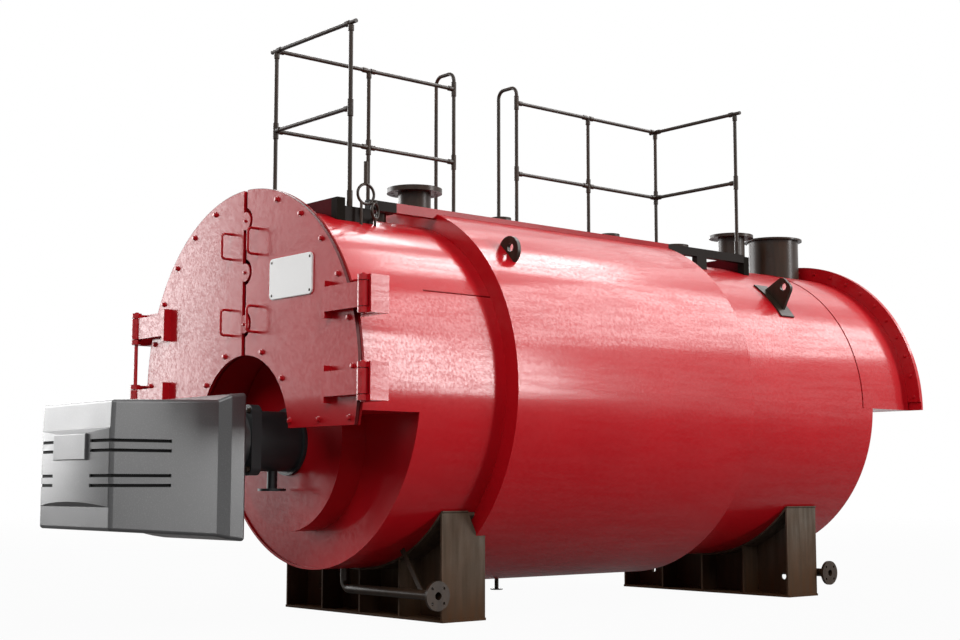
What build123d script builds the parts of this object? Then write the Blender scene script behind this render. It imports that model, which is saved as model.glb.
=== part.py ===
"""Horizontal fire-tube boiler with burner, hinged smokebox doors, roof walkway and saddles.

Every piece is drawn about the drum axis: the axis is Z = 0, the face of the
closed front doors is Y = 0 and the boiler runs back along +Y. Each piece is
then moved so that the origin lies on the floor under the middle of the front
saddle. Millimetres throughout.
"""
import os
from math import atan2, degrees, hypot

from build123d import *

# Gap between seated pieces, and how far a cutter runs past what it cuts
seat = 0.3
past = 1.0

# Drums
drum_r = 1120.0
drum_wall = 14.0
sheet = 12.0
collar = 112.0
main_r = drum_r + collar
end_plate = 20.0
collar_y = 1164.0
main_len = 2203.0
rear_len = 1537.0
main_rear_y = collar_y + main_len
rear_low_y = main_rear_y + rear_len
ground_gap = 186.0
axis_height = main_r + ground_gap
far = 8 * drum_r

# Rear smokebox
cowl_lap = 121.0
cowl_seam = 3.0
cowl_reach = 483.0
cowl_front_y = rear_low_y - cowl_lap
rear_end_y = rear_low_y + cowl_reach
cowl_z = -12.0
rear_flange_w = 110.0
rear_flange_r = drum_r + rear_flange_w
rear_flange_z = 53.0
tube_plate_inset = 10.0

# Front doors and their frame
door_lap = 80.0
door_rise = 25.0
door_r = drum_r + door_lap
door_top_z = door_r + door_rise
door_t = 20.0
door_slot = 42.0
door_low_z = -262.0
door_clear = 5.0
frame_t = 15.0
frame_rim = 40.0
tab_r = 56.0
tab_gap = 26.0
tab_count = 3
tab_pitch = 321.5
tab_drop = 193.0
handle_x = 150.0
handle_reach = 74.0
handle_height = 158.0
handle_rod_r = 8.0
handle_bend = 24.0
handle_drop = 338.0
handle_pitch = 478.0

# Smokebox floor, lower front and furnace front
shelf_z = -175.0
front_plate_y = 506.0
plate_inset = 11.0
furnace_z = -310.0
arch_r = 508.0
shroud_gap = 74.0
shroud_r = arch_r + shroud_gap
boss_gap = 12.0
boss_r = shroud_r - boss_gap
boss_depth = 164.0
boss_y = front_plate_y - boss_depth

# Door hinges
pin_reach = 174.0
pin_x = drum_r + pin_reach
pin_y = -40.0
pin_r = 13.0
pin_play = 1.0
pin_end = 8.0
hinge_high_z = 455.0
hinge_pitch = 483.0
hinge_half = 106.0
sleeve_wall = 19.0
sleeve_r = pin_r + pin_play + sleeve_wall
sleeve_half = 70.0
strap_t = 20.0
strap_half = 71.0
standoff_in = 295.0
standoff_t = 30.0
bracket_gap = 9.0
bracket_depth = 50.0
bracket_t = 15.0
ear_overlap = 5.0

# Burner
tube_drop = 15.0
tube_z = furnace_z - tube_drop
tube_r = 186.0
burner_half_w = 437.0
burner_rear_y = -249.0
burner_len = 846.0
burner_front_y = burner_rear_y - burner_len
burner_low = 518.0
burner_low_rear = 593.0
burner_high = 197.0
burner_high_rear = 265.0
burner_rim = 102.0
burner_flare = 76.0
burner_flare_h = 16.0
burner_rim_w = 18.0
burner_lean = 6.0
burner_panel = 154.0
burner_foot = 128.0
burner_bulge = 28.0
burner_wall = 18.0
burner_round = 20.0
groove_depth = 11.0
groove_h = 18.0
groove_pitch = 54.0
groove_front_x = 228.0
groove_len = 371.0
groove_high = 41.0
groove_low = 233.0
badge_half_w = 198.0
badge_h = 145.0
badge_t = 9.0
neck_gap = 8.0
neck_wall = 10.0
burner_plate_y = -62.0
burner_plate_t = 67.0
burner_plate_half = 212.0
burner_plate_round = 50.0
burner_plate_hole_r = 12.0
burner_plate_hole_in = 36.0
tube_ring_w = 26.0
tube_ring_t = 21.0
tube_tail = 90.0
tube_flange_w = 24.0
tube_flange_t = 20.0
tube_core = 40.0
gas_y = 222.0
gas_drop = 120.0
gas_r = 32.0
gas_wall = 8.0
gas_flange_r = 87.0
gas_flange_t = 16.0

# Crown branches
steam_back = 165.0
steam_y = collar_y + steam_back
steam_rise = 167.0
steam_neck_r = 112.0
steam_flange_w = 76.0
steam_flange_t = 32.0
steam_bolts = 12
steam_bolt_r = 11.0
rear_branch_back = 1246.0
rear_branch_y = main_rear_y + rear_branch_back
rear_branch_rise = 308.0
rear_branch_neck_r = 108.0
rear_branch_flange_w = 70.0
rear_branch_flange_t = 24.0
rear_branch_bolts = 8
rear_branch_bolt_r = 11.0
flue_back = 241.0
flue_y = rear_low_y + flue_back
flue_rise = 320.0
flue_neck_r = 208.0
flue_flange_w = 32.0
flue_flange_t = 14.0
flue_bolts = 16
flue_bolt_r = 6.0
port_neck_r = 40.0
port_bolts = 4
port_bolt_r = 9.0
port_flange_t = 18.0
main_port_rise = 58.0
main_port_flange_w = 36.0
main_port_back = 943.0
main_port_lead = 162.0
main_port_ys = (collar_y + main_port_back, main_rear_y - main_port_lead)
front_port_rise = 100.0
rear_port_rise = 162.0
drum_port_flange_w = 58.0
front_port_lead = 124.0
front_port_y = collar_y - front_port_lead
rear_port_back = 579.0
rear_port_y = main_rear_y + rear_port_back

# Lifting lugs and siphons
lug_angle = 45.0
lug_t = 26.0
lug_hole_r = 28.0
lug_front_back = 241.0
lug_front_y = collar_y + lug_front_back
lug_r = 92.0
lug_centre = 20.0
lug_hole_out = 45.0
lug_rear_back = 793.0
lug_rear_y = main_rear_y + lug_rear_back
lug_base = 121.0
lug_top = 62.0
lug_rise = 170.0
lug_round = 50.0
lug_hole_in = 50.0
lug_pad = 150.0
lug_pad_half = 181.0
siphon_rod_r = 9.0
siphon_x = 485.0
siphon_y = 565.0
siphon_rise = 193.0
siphon_ring_r = 62.0
siphon_foot_in = 34.0
siphon_cock_r = 15.0
siphon_cock_h = 143.0
siphon_turn = 90.0
small_siphon_gap = 73.0
small_siphon_rise = 93.0
small_siphon_ring_r = 49.0
small_siphon_foot_in = 0.0
small_siphon_cock_h = 20.0
small_siphon_turn = 120.0

# Roof walkway and railing
rail_x = 423.0
rail_r = 14.0
beam_sink = 50.0
beam_top_z = main_r - beam_sink
beam_h = 62.0
beam_w = 50.0
beam_over = 50.0
beam_step = 186.0
beam_lap = 30.0
cross_t = 60.0
cross_drop = 12.0
leg_len = 109.0
leg_back = 316.0
rail_rise = 1114.0
mid_rail_rise = 568.0
top_rail_z = beam_top_z + rail_rise
mid_rail_z = beam_top_z + mid_rail_rise
rail_over = 55.0
hoop_rise = 1238.0
hoop_z = beam_top_z + hoop_rise
hoop_w = 205.0
hoop_x = rail_x + hoop_w
hoop_bend = 60.0
post_a = 486.0
post_c = 1250.0
post_d = 2023.0
post_e = 2641.0
post_f_back = 34.0
post_f = main_rear_y + post_f_back
post_g_back = 810.0
post_g = main_rear_y + post_g_back

# Drains
drain_r = 30.0
drain_wall = 6.0
drain_drop = 132.0
drain_z = -drum_r - drain_drop
drain_x = -70.0
drain_bend = 60.0
drain_reach = 885.0
drain_front_y = 830.0
drain_rear_back = 1273.0
drain_rear_y = main_rear_y + drain_rear_back
drain_flange_r = 89.0
drain_flange_t = 20.0
drain_bolts = 4
drain_bolt_r = 9.0
drain_pcd_r = 63.5
brace_top_x = 530.0
brace_low_x = 740.0
brace_w = 32.0
brace_t = 10.0
blowdown_y = 2065.0
blowdown_drop = 78.0
blowdown_r = 14.0
blowdown_flange_r = 42.0
blowdown_flange_t = 8.0

# Saddles
saddle_y = 1066.0
rear_saddle_back = 998.0
rear_saddle_y = main_rear_y + rear_saddle_back
saddle_len = 344.0
saddle_half = 838.0
saddle_foot = 8.0
saddle_plate = 16.0
saddle_web = 14.0
saddle_bays = 4
cradle_t = 14.0
web_hole_r = 24.0
web_hole_in = 171.0
web_hole_rise = 142.0
notch_run = 147.0
notch_slope = 82.0

pieces = {}


def block(x0, x1, y0, y1, z0, z1):
    """Box between two corners."""
    centre = Pos((x0 + x1) / 2, (y0 + y1) / 2, (z0 + z1) / 2)
    return centre * Box(abs(x1 - x0), abs(y1 - y0), abs(z1 - z0))


def rod_x(r, x0, x1, y, z):
    """Cylinder along X."""
    return Pos((x0 + x1) / 2, y, z) * Rot(0, 90, 0) * Cylinder(r, abs(x1 - x0))


def rod_y(r, y0, y1, x=0.0, z=0.0):
    """Cylinder along Y."""
    return Pos(x, (y0 + y1) / 2, z) * Rot(90, 0, 0) * Cylinder(r, abs(y1 - y0))


def rod_z(r, z0, z1, x, y):
    """Upright cylinder."""
    return Pos(x, y, (z0 + z1) / 2) * Cylinder(r, abs(z1 - z0))


def pipe_y(r, wall, y0, y1):
    """Tube along the drum axis."""
    return rod_y(r, y0, y1) - rod_y(r - wall, y0 - past, y1 + past)


def bent_rod(points, bend_r, r):
    """Round rod along straight runs with rounded corners."""
    path = FilletPolyline(*points, radius=bend_r)
    start = Plane(origin=path @ 0, z_dir=path % 0)
    return sweep(start * Circle(r), path=path)


def both_sides(solid):
    """The solid and its mirror image across the drum's middle plane."""
    return [solid, mirror(solid, Plane.YZ)]


def above(z, y0=-far, y1=far):
    """Everything above a height."""
    return block(-far, far, y0, y1, z, far)


def below(z, y0=-far, y1=far):
    """Everything below a height."""
    return block(-far, far, y0, y1, -far, z)


def crown_hole(y, neck_r):
    """Bore of a branch, cut up through a drum's crown."""
    return rod_z(neck_r - sheet, 0, far, 0, y)


def drum_height(r, x):
    """How far a drum of that radius reaches from the axis at a distance to the side."""
    return (r**2 - x**2) ** 0.5


def drums():
    """Front drum, main drum with its end plates, rear drum and rear smokebox."""
    frame_back = door_t + door_clear + frame_t
    front = pipe_y(drum_r, drum_wall, frame_back + seat, collar_y - seat)
    front -= below(shelf_z, y1=front_plate_y)
    pieces["front_shell"] = [front - crown_hole(front_port_y, port_neck_r)]
    pieces["main_front_plate"] = [rod_y(main_r, collar_y, collar_y + end_plate)]
    shell_rear = main_rear_y - end_plate
    main = pipe_y(main_r, drum_wall, collar_y + end_plate + seat, shell_rear - seat)
    main -= crown_hole(steam_y, steam_neck_r)
    for y in main_port_ys:
        main -= crown_hole(y, port_neck_r)
    pieces["main_shell"] = [main]
    pieces["main_rear_plate"] = [rod_y(main_r, shell_rear, main_rear_y)]
    rear = pipe_y(drum_r, drum_wall, main_rear_y + seat, rear_low_y)
    rear -= above(cowl_z, y0=cowl_front_y)
    rear -= crown_hole(rear_branch_y, rear_branch_neck_r) + crown_hole(rear_port_y, port_neck_r)
    pieces["rear_shell"] = [rear]
    plate_back = rear_low_y - tube_plate_inset
    pieces["rear_tube_plate"] = [rod_y(drum_r - drum_wall - seat, plate_back - end_plate, plate_back)]
    cowl_back = rear_end_y - frame_t - seat
    cowl = pipe_y(drum_r, sheet, cowl_front_y + cowl_seam, cowl_back) - below(cowl_z + seat)
    cowl -= crown_hole(flue_y, flue_neck_r)
    floor_half = drum_r - sheet / 2
    cowl += block(-floor_half, floor_half, rear_low_y + seat, cowl_back, cowl_z + seat, cowl_z + 2 * sheet)
    pieces["rear_cowl"] = [cowl]
    flange = pipe_y(rear_flange_r, rear_flange_w - seat, rear_end_y - frame_t, rear_end_y)
    pieces["rear_flange"] = [flange - below(rear_flange_z)]
    cover = rod_y(rear_flange_r, rear_end_y + seat, rear_end_y + door_t)
    pieces["rear_cover"] = [cover - below(cowl_z)]


def smokebox():
    """Door frame, smokebox floor with its arch, lower front plate and furnace front."""
    frame_y0 = door_t + door_clear
    frame_y1 = frame_y0 + frame_t
    frame = rod_y(door_r, frame_y0, frame_y1, z=door_rise) - below(door_low_z)
    frame -= rod_y(arch_r, frame_y0 - past, frame_y1 + past, z=furnace_z)
    opening = rod_y(drum_r - frame_rim, frame_y0 - past, frame_y1 + past) - below(shelf_z + frame_rim)
    opening -= rod_y(shroud_r + frame_rim, frame_y0 - 2 * past, frame_y1 + 2 * past, z=furnace_z)
    pieces["door_frame"] = [frame - opening]
    floor_y0 = frame_y1 + seat
    floor_y1 = front_plate_y + plate_inset
    floor = rod_y(shroud_r + sheet, floor_y0, floor_y1, z=furnace_z)
    floor += block(-drum_r, drum_r, floor_y0, floor_y1, shelf_z, shelf_z + sheet)
    floor -= rod_y(shroud_r, floor_y0 - past, floor_y1 + past, z=furnace_z)
    floor -= below(shelf_z)
    floor &= rod_y(drum_r - drum_wall - seat, floor_y0, floor_y1)
    pieces["smokebox_floor"] = [floor]
    plate_y0 = floor_y1 + seat
    plate_y1 = plate_y0 + sheet
    plate = rod_y(drum_r - drum_wall - seat, plate_y0, plate_y1) - above(shelf_z + sheet)
    plate += rod_y(shroud_r + sheet, plate_y0, plate_y1, z=furnace_z)
    pieces["front_plate"] = [plate]
    boss = rod_y(boss_r, boss_y, plate_y0 - seat, z=furnace_z)
    boss -= rod_y(boss_r - sheet, boss_y + end_plate, plate_y0, z=furnace_z)
    boss -= rod_y(tube_r + seat, boss_y - past, boss_y + end_plate + past, z=tube_z)
    pieces["furnace_front"] = [boss]


def doors():
    """Two half doors that meet in a slot above the burner arch, with pull handles."""
    disc = rod_y(door_r, 0, door_t, z=door_rise) - below(door_low_z)
    disc -= rod_y(arch_r, -past, door_t + past, z=furnace_z)
    right = disc & block(door_slot / 2, far, -past, door_t + past, -far, far)
    left = mirror(right, Plane.YZ)
    tabs = []
    for step in range(tab_count):
        height = door_top_z - tab_drop - step * tab_pitch
        right -= rod_y(tab_r + tab_gap, -past, door_t + past, z=height)
        tabs.append(rod_y(tab_r, 0, door_t, z=height) & block(seat - door_slot / 2, far, 0, door_t, 0, far))
    pieces["right_door"] = [right]
    pieces["left_door"] = [left]
    pieces["left_door_tabs"] = tabs
    handles = []
    for step in range(2):
        high = door_top_z - handle_drop - step * handle_pitch + handle_height / 2
        low = high - handle_height
        route = [
            (handle_x, -seat, low),
            (handle_x, -handle_reach, low),
            (handle_x, -handle_reach, high),
            (handle_x, -seat, high),
        ]
        handles.append(bent_rod(route, handle_bend, handle_rod_r))
    pieces["right_handles"] = handles
    pieces["left_handles"] = [mirror(handle, Plane.YZ) for handle in handles]


def hinge_strap(height):
    """Strap on the right door, from its standoff out to the sleeve round the pin."""
    low = height - hinge_half
    high = height + hinge_half
    standoff_x = door_r - standoff_in
    strap_y = pin_y - strap_t / 2
    strap = block(standoff_x, standoff_x + standoff_t, strap_y, -seat, low, high)
    strap += block(standoff_x, pin_x, strap_y, strap_y + strap_t, height - strap_half, height + strap_half)
    strap += rod_z(sleeve_r, height - sleeve_half, height + sleeve_half, pin_x, pin_y)
    return strap - rod_z(pin_r + pin_play, low, high, pin_x, pin_y)


def hinge_bracket(height):
    """Box bracket on the right of the drum, with a ring above and below the sleeve."""
    low = height - hinge_half
    high = height + hinge_half
    side_x = pin_x + sleeve_r + bracket_gap
    back_y0 = door_t + 2 * door_clear + frame_t
    back_y1 = back_y0 + bracket_depth
    inner_x = drum_r / 2
    bracket = block(side_x, side_x + bracket_t, pin_y + strap_t / 2, back_y1, low, high)
    bracket += block(inner_x, side_x, back_y1 - sheet, back_y1, low, high)
    bracket += block(inner_x, side_x, back_y0, back_y1, low, low + sheet)
    bracket += block(inner_x, side_x, back_y0, back_y1, high - sheet, high)
    ring_h = hinge_half - sleeve_half - door_clear
    for ring_low in (low, high - ring_h):
        bracket += rod_z(sleeve_r, ring_low, ring_low + ring_h, pin_x, pin_y)
        bracket += block(pin_x, side_x, pin_y + ear_overlap, pin_y + sleeve_r, ring_low, ring_low + ring_h)
    bracket -= rod_z(pin_r + pin_play, low - past, high + past, pin_x, pin_y)
    return bracket - rod_y(drum_r + seat, -far, far)


def hinges():
    """Straps on the doors, box brackets on the drum and the pins between them."""
    heights = (hinge_high_z, hinge_high_z - hinge_pitch)
    pin_reach_z = hinge_half + pin_end
    straps = [hinge_strap(height) for height in heights]
    brackets = [hinge_bracket(height) for height in heights]
    pins = [rod_z(pin_r, height - pin_reach_z, height + pin_reach_z, pin_x, pin_y) for height in heights]
    pieces["right_hinge_straps"] = straps
    pieces["left_hinge_straps"] = [mirror(strap, Plane.YZ) for strap in straps]
    pieces["right_hinge_brackets"] = brackets
    pieces["left_hinge_brackets"] = [mirror(bracket, Plane.YZ) for bracket in brackets]
    pieces["right_hinge_pins"] = pins
    long_rod = rod_z(pin_r, heights[1] - pin_reach_z, heights[0] + pin_reach_z, -pin_x, pin_y)
    pieces["left_hinge_rod"] = [long_rod]


def burner_body(inset):
    """Tapered burner housing that flares to a rear rim, smaller all round by the inset."""
    rim_y = burner_rear_y - burner_rim
    flare_y = rim_y - burner_flare
    low_rear = tube_z - burner_low_rear
    high_rear = tube_z + burner_high_rear
    high_front = tube_z + burner_high
    side = Polyline(
        (burner_front_y, tube_z - burner_low),
        (flare_y, low_rear + 2 * burner_flare_h),
        (rim_y, low_rear + burner_flare_h),
        (burner_rear_y, low_rear),
        (burner_rear_y, high_rear),
        (rim_y, high_rear - burner_flare_h),
        (flare_y, high_rear - 3 * burner_flare_h),
        (burner_front_y + burner_lean, high_front),
        (burner_front_y, high_front - burner_panel),
        close=True,
    )
    rim_half = burner_half_w + burner_rim_w
    front_y = burner_front_y - burner_rim
    rear_y = burner_rear_y + burner_rim
    plan = Polyline(
        (burner_half_w, front_y),
        (burner_half_w, flare_y),
        (rim_half, rim_y),
        (rim_half, rear_y),
        (-rim_half, rear_y),
        (-rim_half, rim_y),
        (-burner_half_w, flare_y),
        (-burner_half_w, front_y),
        close=True,
    )
    faces = []
    for outline in (side, plan):
        face = make_face(outline)
        faces.append(offset(face, -inset, kind=Kind.INTERSECTION) if inset else face)
    body = extrude(Plane.YZ * faces[0], 2 * burner_half_w, both=True)
    return body & Pos(0, 0, tube_z) * extrude(faces[1], 2 * burner_low_rear, both=True)


def burner_groove(height, bulge_r, bulge_y):
    """Groove that wraps the right front corner of the burner housing."""
    low = height - groove_h / 2
    high = height + groove_h / 2
    skin_x = burner_half_w - groove_depth
    groove_rear = burner_front_y + groove_len
    groove = block(skin_x, far, burner_front_y - far, groove_rear, low, high)
    front = block(groove_front_x, far, burner_front_y - far, burner_front_y + 2 * groove_depth, low, high)
    return groove + (front - rod_z(bulge_r - groove_depth, low - past, high + past, 0, bulge_y))


def burner_housing():
    """Hollow fan housing with a bulged front, wrap-round grooves and a bare badge block."""
    housing = fillet(burner_body(0).edges(), burner_round)
    panel_z = tube_z + burner_high - burner_panel
    foot_z = tube_z - burner_low + burner_foot
    bulge_r = (burner_half_w**2 + burner_bulge**2) / (2 * burner_bulge)
    bulge_y = burner_front_y - burner_bulge + bulge_r
    ledge = Polyline(
        (burner_front_y + burner_round, foot_z - burner_round),
        (burner_front_y - burner_bulge, foot_z + burner_bulge),
        (burner_front_y - burner_bulge, panel_z - burner_bulge),
        (burner_front_y + burner_round, panel_z + burner_round),
        close=True,
    )
    bulge = extrude(Plane.YZ * make_face(ledge), burner_half_w - burner_round, both=True)
    housing += bulge & rod_z(bulge_r, foot_z - far, panel_z + far, 0, bulge_y)
    badge_front = burner_front_y - burner_bulge - badge_t
    badge_top = panel_z - burner_bulge
    badge = block(-badge_half_w, badge_half_w, badge_front, burner_front_y, badge_top - badge_h, badge_top)
    for top in (panel_z - burner_bulge - groove_high, panel_z - burner_bulge - groove_low):
        for height in (top, top - groove_pitch):
            for groove in both_sides(burner_groove(height, bulge_r, bulge_y)):
                housing -= groove
    housing += fillet(badge.edges().group_by(Axis.Y)[0], badge_t / 2)
    neck_r = tube_r + neck_gap + neck_wall
    neck_y = burner_plate_y - seat
    housing -= burner_body(burner_wall)
    housing += rod_y(neck_r, burner_rear_y - burner_wall, neck_y, z=tube_z)
    return housing - rod_y(neck_r - neck_wall, burner_rear_y - 2 * burner_wall, neck_y + past, z=tube_z)


def burner():
    """Fan housing, square mounting plate, blast tube and gas inlet of the burner."""
    pieces["burner_housing"] = [burner_housing()]
    plate_y1 = burner_plate_y + burner_plate_t
    side = 2 * burner_plate_half
    outline = Plane.XZ * RectangleRounded(side, side, burner_plate_round)
    plate = Pos(0, plate_y1, tube_z) * extrude(outline, burner_plate_t)
    ring_y = plate_y1 + tube_ring_t
    plate += rod_y(tube_r + tube_ring_w, plate_y1 - past, ring_y, z=tube_z)
    hole_pitch = side - 2 * burner_plate_hole_in
    for spot in GridLocations(hole_pitch, hole_pitch, 2, 2):
        hole = spot.position
        plate -= rod_y(burner_plate_hole_r, burner_plate_y - past, plate_y1 + past, hole.X, tube_z + hole.Y)
    pieces["burner_flange"] = [plate]
    tail_y = boss_y + tube_tail
    tube = rod_y(tube_r - seat, ring_y + seat, tail_y, z=tube_z)
    tube += rod_y(tube_r + tube_flange_w, boss_y - tube_flange_t, boss_y - seat, z=tube_z)
    tube -= rod_y(tube_r - sheet, boss_y - tube_core, tail_y + past, z=tube_z)
    gas_low = tube_z - tube_r - gas_drop
    gas_bore = rod_z(gas_r - gas_wall, gas_low - past, tube_z, 0, gas_y)
    pieces["blast_tube"] = [tube - gas_bore]
    stub = rod_z(gas_r, gas_low, tube_z, 0, gas_y)
    stub += rod_z(gas_flange_r, gas_low, gas_low + gas_flange_t, 0, gas_y)
    stub -= rod_y(tube_r, 0, boss_y, z=tube_z)
    pieces["gas_inlet"] = [stub - gas_bore]


def flanged_branch(y, base_r, rise, neck_r, flange_w, flange_t, bolts, bolt_r):
    """Upright branch on a drum's crown with a drilled flange."""
    top = base_r + rise
    branch = rod_z(neck_r, base_r / 2, top, 0, y)
    branch += rod_z(neck_r + flange_w, top - flange_t, top, 0, y)
    branch -= crown_hole(y, neck_r)
    for spot in PolarLocations(neck_r + flange_w / 2, bolts):
        branch -= Pos(0, y, top - flange_t / 2) * spot * Cylinder(bolt_r, flange_t + 2 * past)
    return branch - rod_y(base_r + seat, y - drum_r, y + drum_r)


def crown():
    """Steam, rear and flue branches and the small ports on the drums."""
    steam = flanged_branch(
        steam_y, main_r, steam_rise, steam_neck_r, steam_flange_w, steam_flange_t, steam_bolts, steam_bolt_r
    )
    pieces["steam_branch"] = [steam]
    rear = flanged_branch(
        rear_branch_y, drum_r, rear_branch_rise, rear_branch_neck_r, rear_branch_flange_w,
        rear_branch_flange_t, rear_branch_bolts, rear_branch_bolt_r,
    )
    pieces["rear_branch"] = [rear]
    flue = flanged_branch(
        flue_y, drum_r, flue_rise, flue_neck_r, flue_flange_w, flue_flange_t, flue_bolts, flue_bolt_r
    )
    pieces["flue_outlet"] = [flue]
    spots = [(y, main_r, main_port_rise, main_port_flange_w) for y in main_port_ys]
    spots.append((front_port_y, drum_r, front_port_rise, drum_port_flange_w))
    spots.append((rear_port_y, drum_r, rear_port_rise, drum_port_flange_w))
    ports = []
    for y, base_r, rise, width in spots:
        ports.append(flanged_branch(y, base_r, rise, port_neck_r, width, port_flange_t, port_bolts, port_bolt_r))
    pieces["crown_flanges"] = ports


def lugs():
    """Lifting lugs of the main drum and, on curved pads, of the rear drum."""
    ear_y = lug_front_y - lug_t / 2
    ear = rod_y(lug_r, ear_y, ear_y + lug_t, x=main_r + lug_centre)
    ear -= rod_y(lug_hole_r, ear_y - past, ear_y + lug_t + past, x=main_r + lug_hole_out)
    ear -= rod_y(main_r + seat, ear_y - past, ear_y + lug_t + past)
    pieces["front_lugs"] = both_sides(Rot(0, -lug_angle, 0) * ear)
    foot_r = drum_r + sheet
    tip_r = foot_r + lug_rise
    outline = Polyline(
        (drum_r - sheet, -lug_base), (drum_r - sheet, lug_base), (tip_r, lug_top), (tip_r, -lug_top), close=True
    )
    face = make_face(outline)
    face = fillet(face.vertices().group_by(Axis.X)[-1], lug_round)
    ear = extrude(Plane.XZ * face, lug_t / 2, both=True)
    ear -= rod_y(lug_hole_r, -lug_t, lug_t, x=tip_r - lug_hole_in)
    ear -= rod_y(drum_r + sheet / 2, -lug_t, lug_t)
    pad = pipe_y(foot_r, sheet - seat, -lug_pad / 2, lug_pad / 2)
    ear += pad & block(0, far, -lug_pad, lug_pad, -lug_pad_half, lug_pad_half)
    pieces["rear_lugs"] = both_sides(Pos(0, lug_rear_y, 0) * Rot(0, -lug_angle, 0) * ear)


def siphon(y, rise, ring_r, foot_in, cock_h, turn):
    """Gauge pipe with a foot on the front drum, one upright loop and a cock on top."""
    ring_z = drum_height(drum_r, siphon_x) + rise
    foot_top = ring_z - drum_height(ring_r, foot_in)
    cock_z = ring_z + ring_r
    loop = Pos(0, 0, ring_z) * Rot(90, 0, 0) * Torus(ring_r, siphon_rod_r)
    loop += rod_z(siphon_rod_r, drum_r / 2, foot_top, -foot_in, 0)
    loop += rod_z(siphon_cock_r, cock_z, cock_z + cock_h, 0, 0)
    loop = Pos(siphon_x, y, 0) * Rot(0, 0, turn) * loop
    return loop - rod_y(drum_r + seat, y - drum_r, y + drum_r)


def siphons():
    """Large and small gauge loops side by side on the front drum."""
    large = siphon(siphon_y, siphon_rise, siphon_ring_r, siphon_foot_in, siphon_cock_h, siphon_turn)
    small_y = siphon_y + small_siphon_gap
    small = siphon(
        small_y, small_siphon_rise, small_siphon_ring_r, small_siphon_foot_in, small_siphon_cock_h,
        small_siphon_turn,
    )
    pieces["siphons"] = [large, small]


def platform():
    """Walkway beams that step down at the front, and the cross supports at both ends."""
    front_y = post_a - beam_over
    rear_y = post_g + beam_over
    x0 = rail_x - beam_w / 2
    x1 = rail_x + beam_w / 2
    low = beam_top_z - beam_h
    step_y = front_y + beam_step
    beam = block(x0, x1, step_y, rear_y, low, beam_top_z)
    beam += block(x0, x1, front_y, step_y + beam_lap, drum_r / 2, low)
    leg_y = main_rear_y + leg_back
    beam += block(x0, x1, leg_y, leg_y + leg_len, drum_r / 2, low)
    beam -= rod_y(main_r + seat, collar_y - seat, main_rear_y + seat)
    pieces["platform_beams"] = both_sides(beam - rod_y(drum_r + seat, -far, far))
    supports = []
    for y in (front_y - cross_t - seat, rear_y + seat):
        support = block(-x1, x1, y, y + cross_t, drum_r / 2, beam_top_z - cross_drop)
        supports.append(support - rod_y(drum_r + seat, y - past, y + cross_t + past))
    pieces["platform_supports"] = supports


def railing():
    """Posts, rails and the two tall hoops beside the gap in the railing."""
    foot = beam_top_z + seat
    head = top_rail_z - rail_r - seat
    spots = [(-rail_x, post_c), (-rail_x, post_f), (-rail_x, post_g), (rail_x, post_g)]
    posts = [rod_z(rail_r, foot, head, x, y) for x, y in spots]
    posts += both_sides(rod_z(rail_r, foot - beam_h, head, rail_x, post_a))
    pieces["railing_posts"] = posts
    gap = rail_r + seat
    rails = []
    for y in (post_a, post_g):
        rails.append(rod_x(rail_r, -rail_x - rail_over, rail_x + rail_over, y, top_rail_z))
        rails.append(rod_x(rail_r, -rail_x + gap, rail_x - gap, y, mid_rail_z))
    for y0, y1 in ((post_a, post_d), (post_e, post_g)):
        rails.append(rod_y(rail_r, y0 + gap, y1 - gap, x=-rail_x, z=top_rail_z))
    for y0, y1 in ((post_a, post_c), (post_c, post_d), (post_e, post_f), (post_f, post_g)):
        rails.append(rod_y(rail_r, y0 + gap, y1 - gap, x=-rail_x, z=mid_rail_z))
    pieces["railing_rails"] = rails
    hoops = []
    for y in (post_d, post_e):
        route = [(-rail_x, y, foot), (-rail_x, y, hoop_z), (-hoop_x, y, hoop_z), (-hoop_x, y, drum_r / 2)]
        hoop = bent_rod(route, hoop_bend, rail_r)
        hoops.append(hoop - rod_y(main_r + seat, collar_y, main_rear_y))
    pieces["railing_hoops"] = hoops


def saddle(y):
    """Welded saddle: base, web, ribs and end plates under a curved cradle."""
    y0 = y - saddle_len / 2
    y1 = y + saddle_len / 2
    foot = saddle_half + saddle_foot
    under_r = drum_r + seat + cradle_t
    end_top = -drum_height(under_r, saddle_half)
    frame = block(-foot, foot, y0, y1, -axis_height, saddle_plate - axis_height)
    web = block(-saddle_half, saddle_half, y - saddle_web / 2, y + saddle_web / 2, -axis_height, end_top)
    for x in (web_hole_in - saddle_half, saddle_half - web_hole_in):
        web -= rod_y(web_hole_r, y0, y1, x, web_hole_rise - axis_height)
    frame += web
    pitch = (2 * saddle_half - saddle_web) / saddle_bays
    for step in range(saddle_bays + 1):
        rib_x = step * pitch - saddle_half
        frame += block(rib_x, rib_x + saddle_web, y0, y1, -axis_height, end_top)
    frame -= rod_y(under_r - seat, y0 - past, y1 + past)
    cradle = pipe_y(under_r, cradle_t, y0, y1)
    frame += cradle & block(-foot, foot, y0, y1, -far, end_top + cradle_t)
    return frame - rod_y(main_r + seat, collar_y - seat, main_rear_y + seat)


def notched_front_saddle():
    """Front saddle, whose end plates slope down to pass under the main drum."""
    rear_edge = saddle_y + saddle_len / 2
    top = -drum_height(drum_r, saddle_half)
    low = -drum_height(main_r + seat, saddle_half)
    run_y = rear_edge - notch_run
    slope_y = run_y + notch_slope
    outline = Polyline((run_y, top), (slope_y, low), (rear_edge + past, low), (rear_edge + past, top), close=True)
    notch = extrude(Plane.YZ * make_face(outline), far, both=True)
    inside = block(-saddle_half + saddle_web, saddle_half - saddle_web, -far, far, -far, far)
    return saddle(saddle_y) - (notch - inside)


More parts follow.
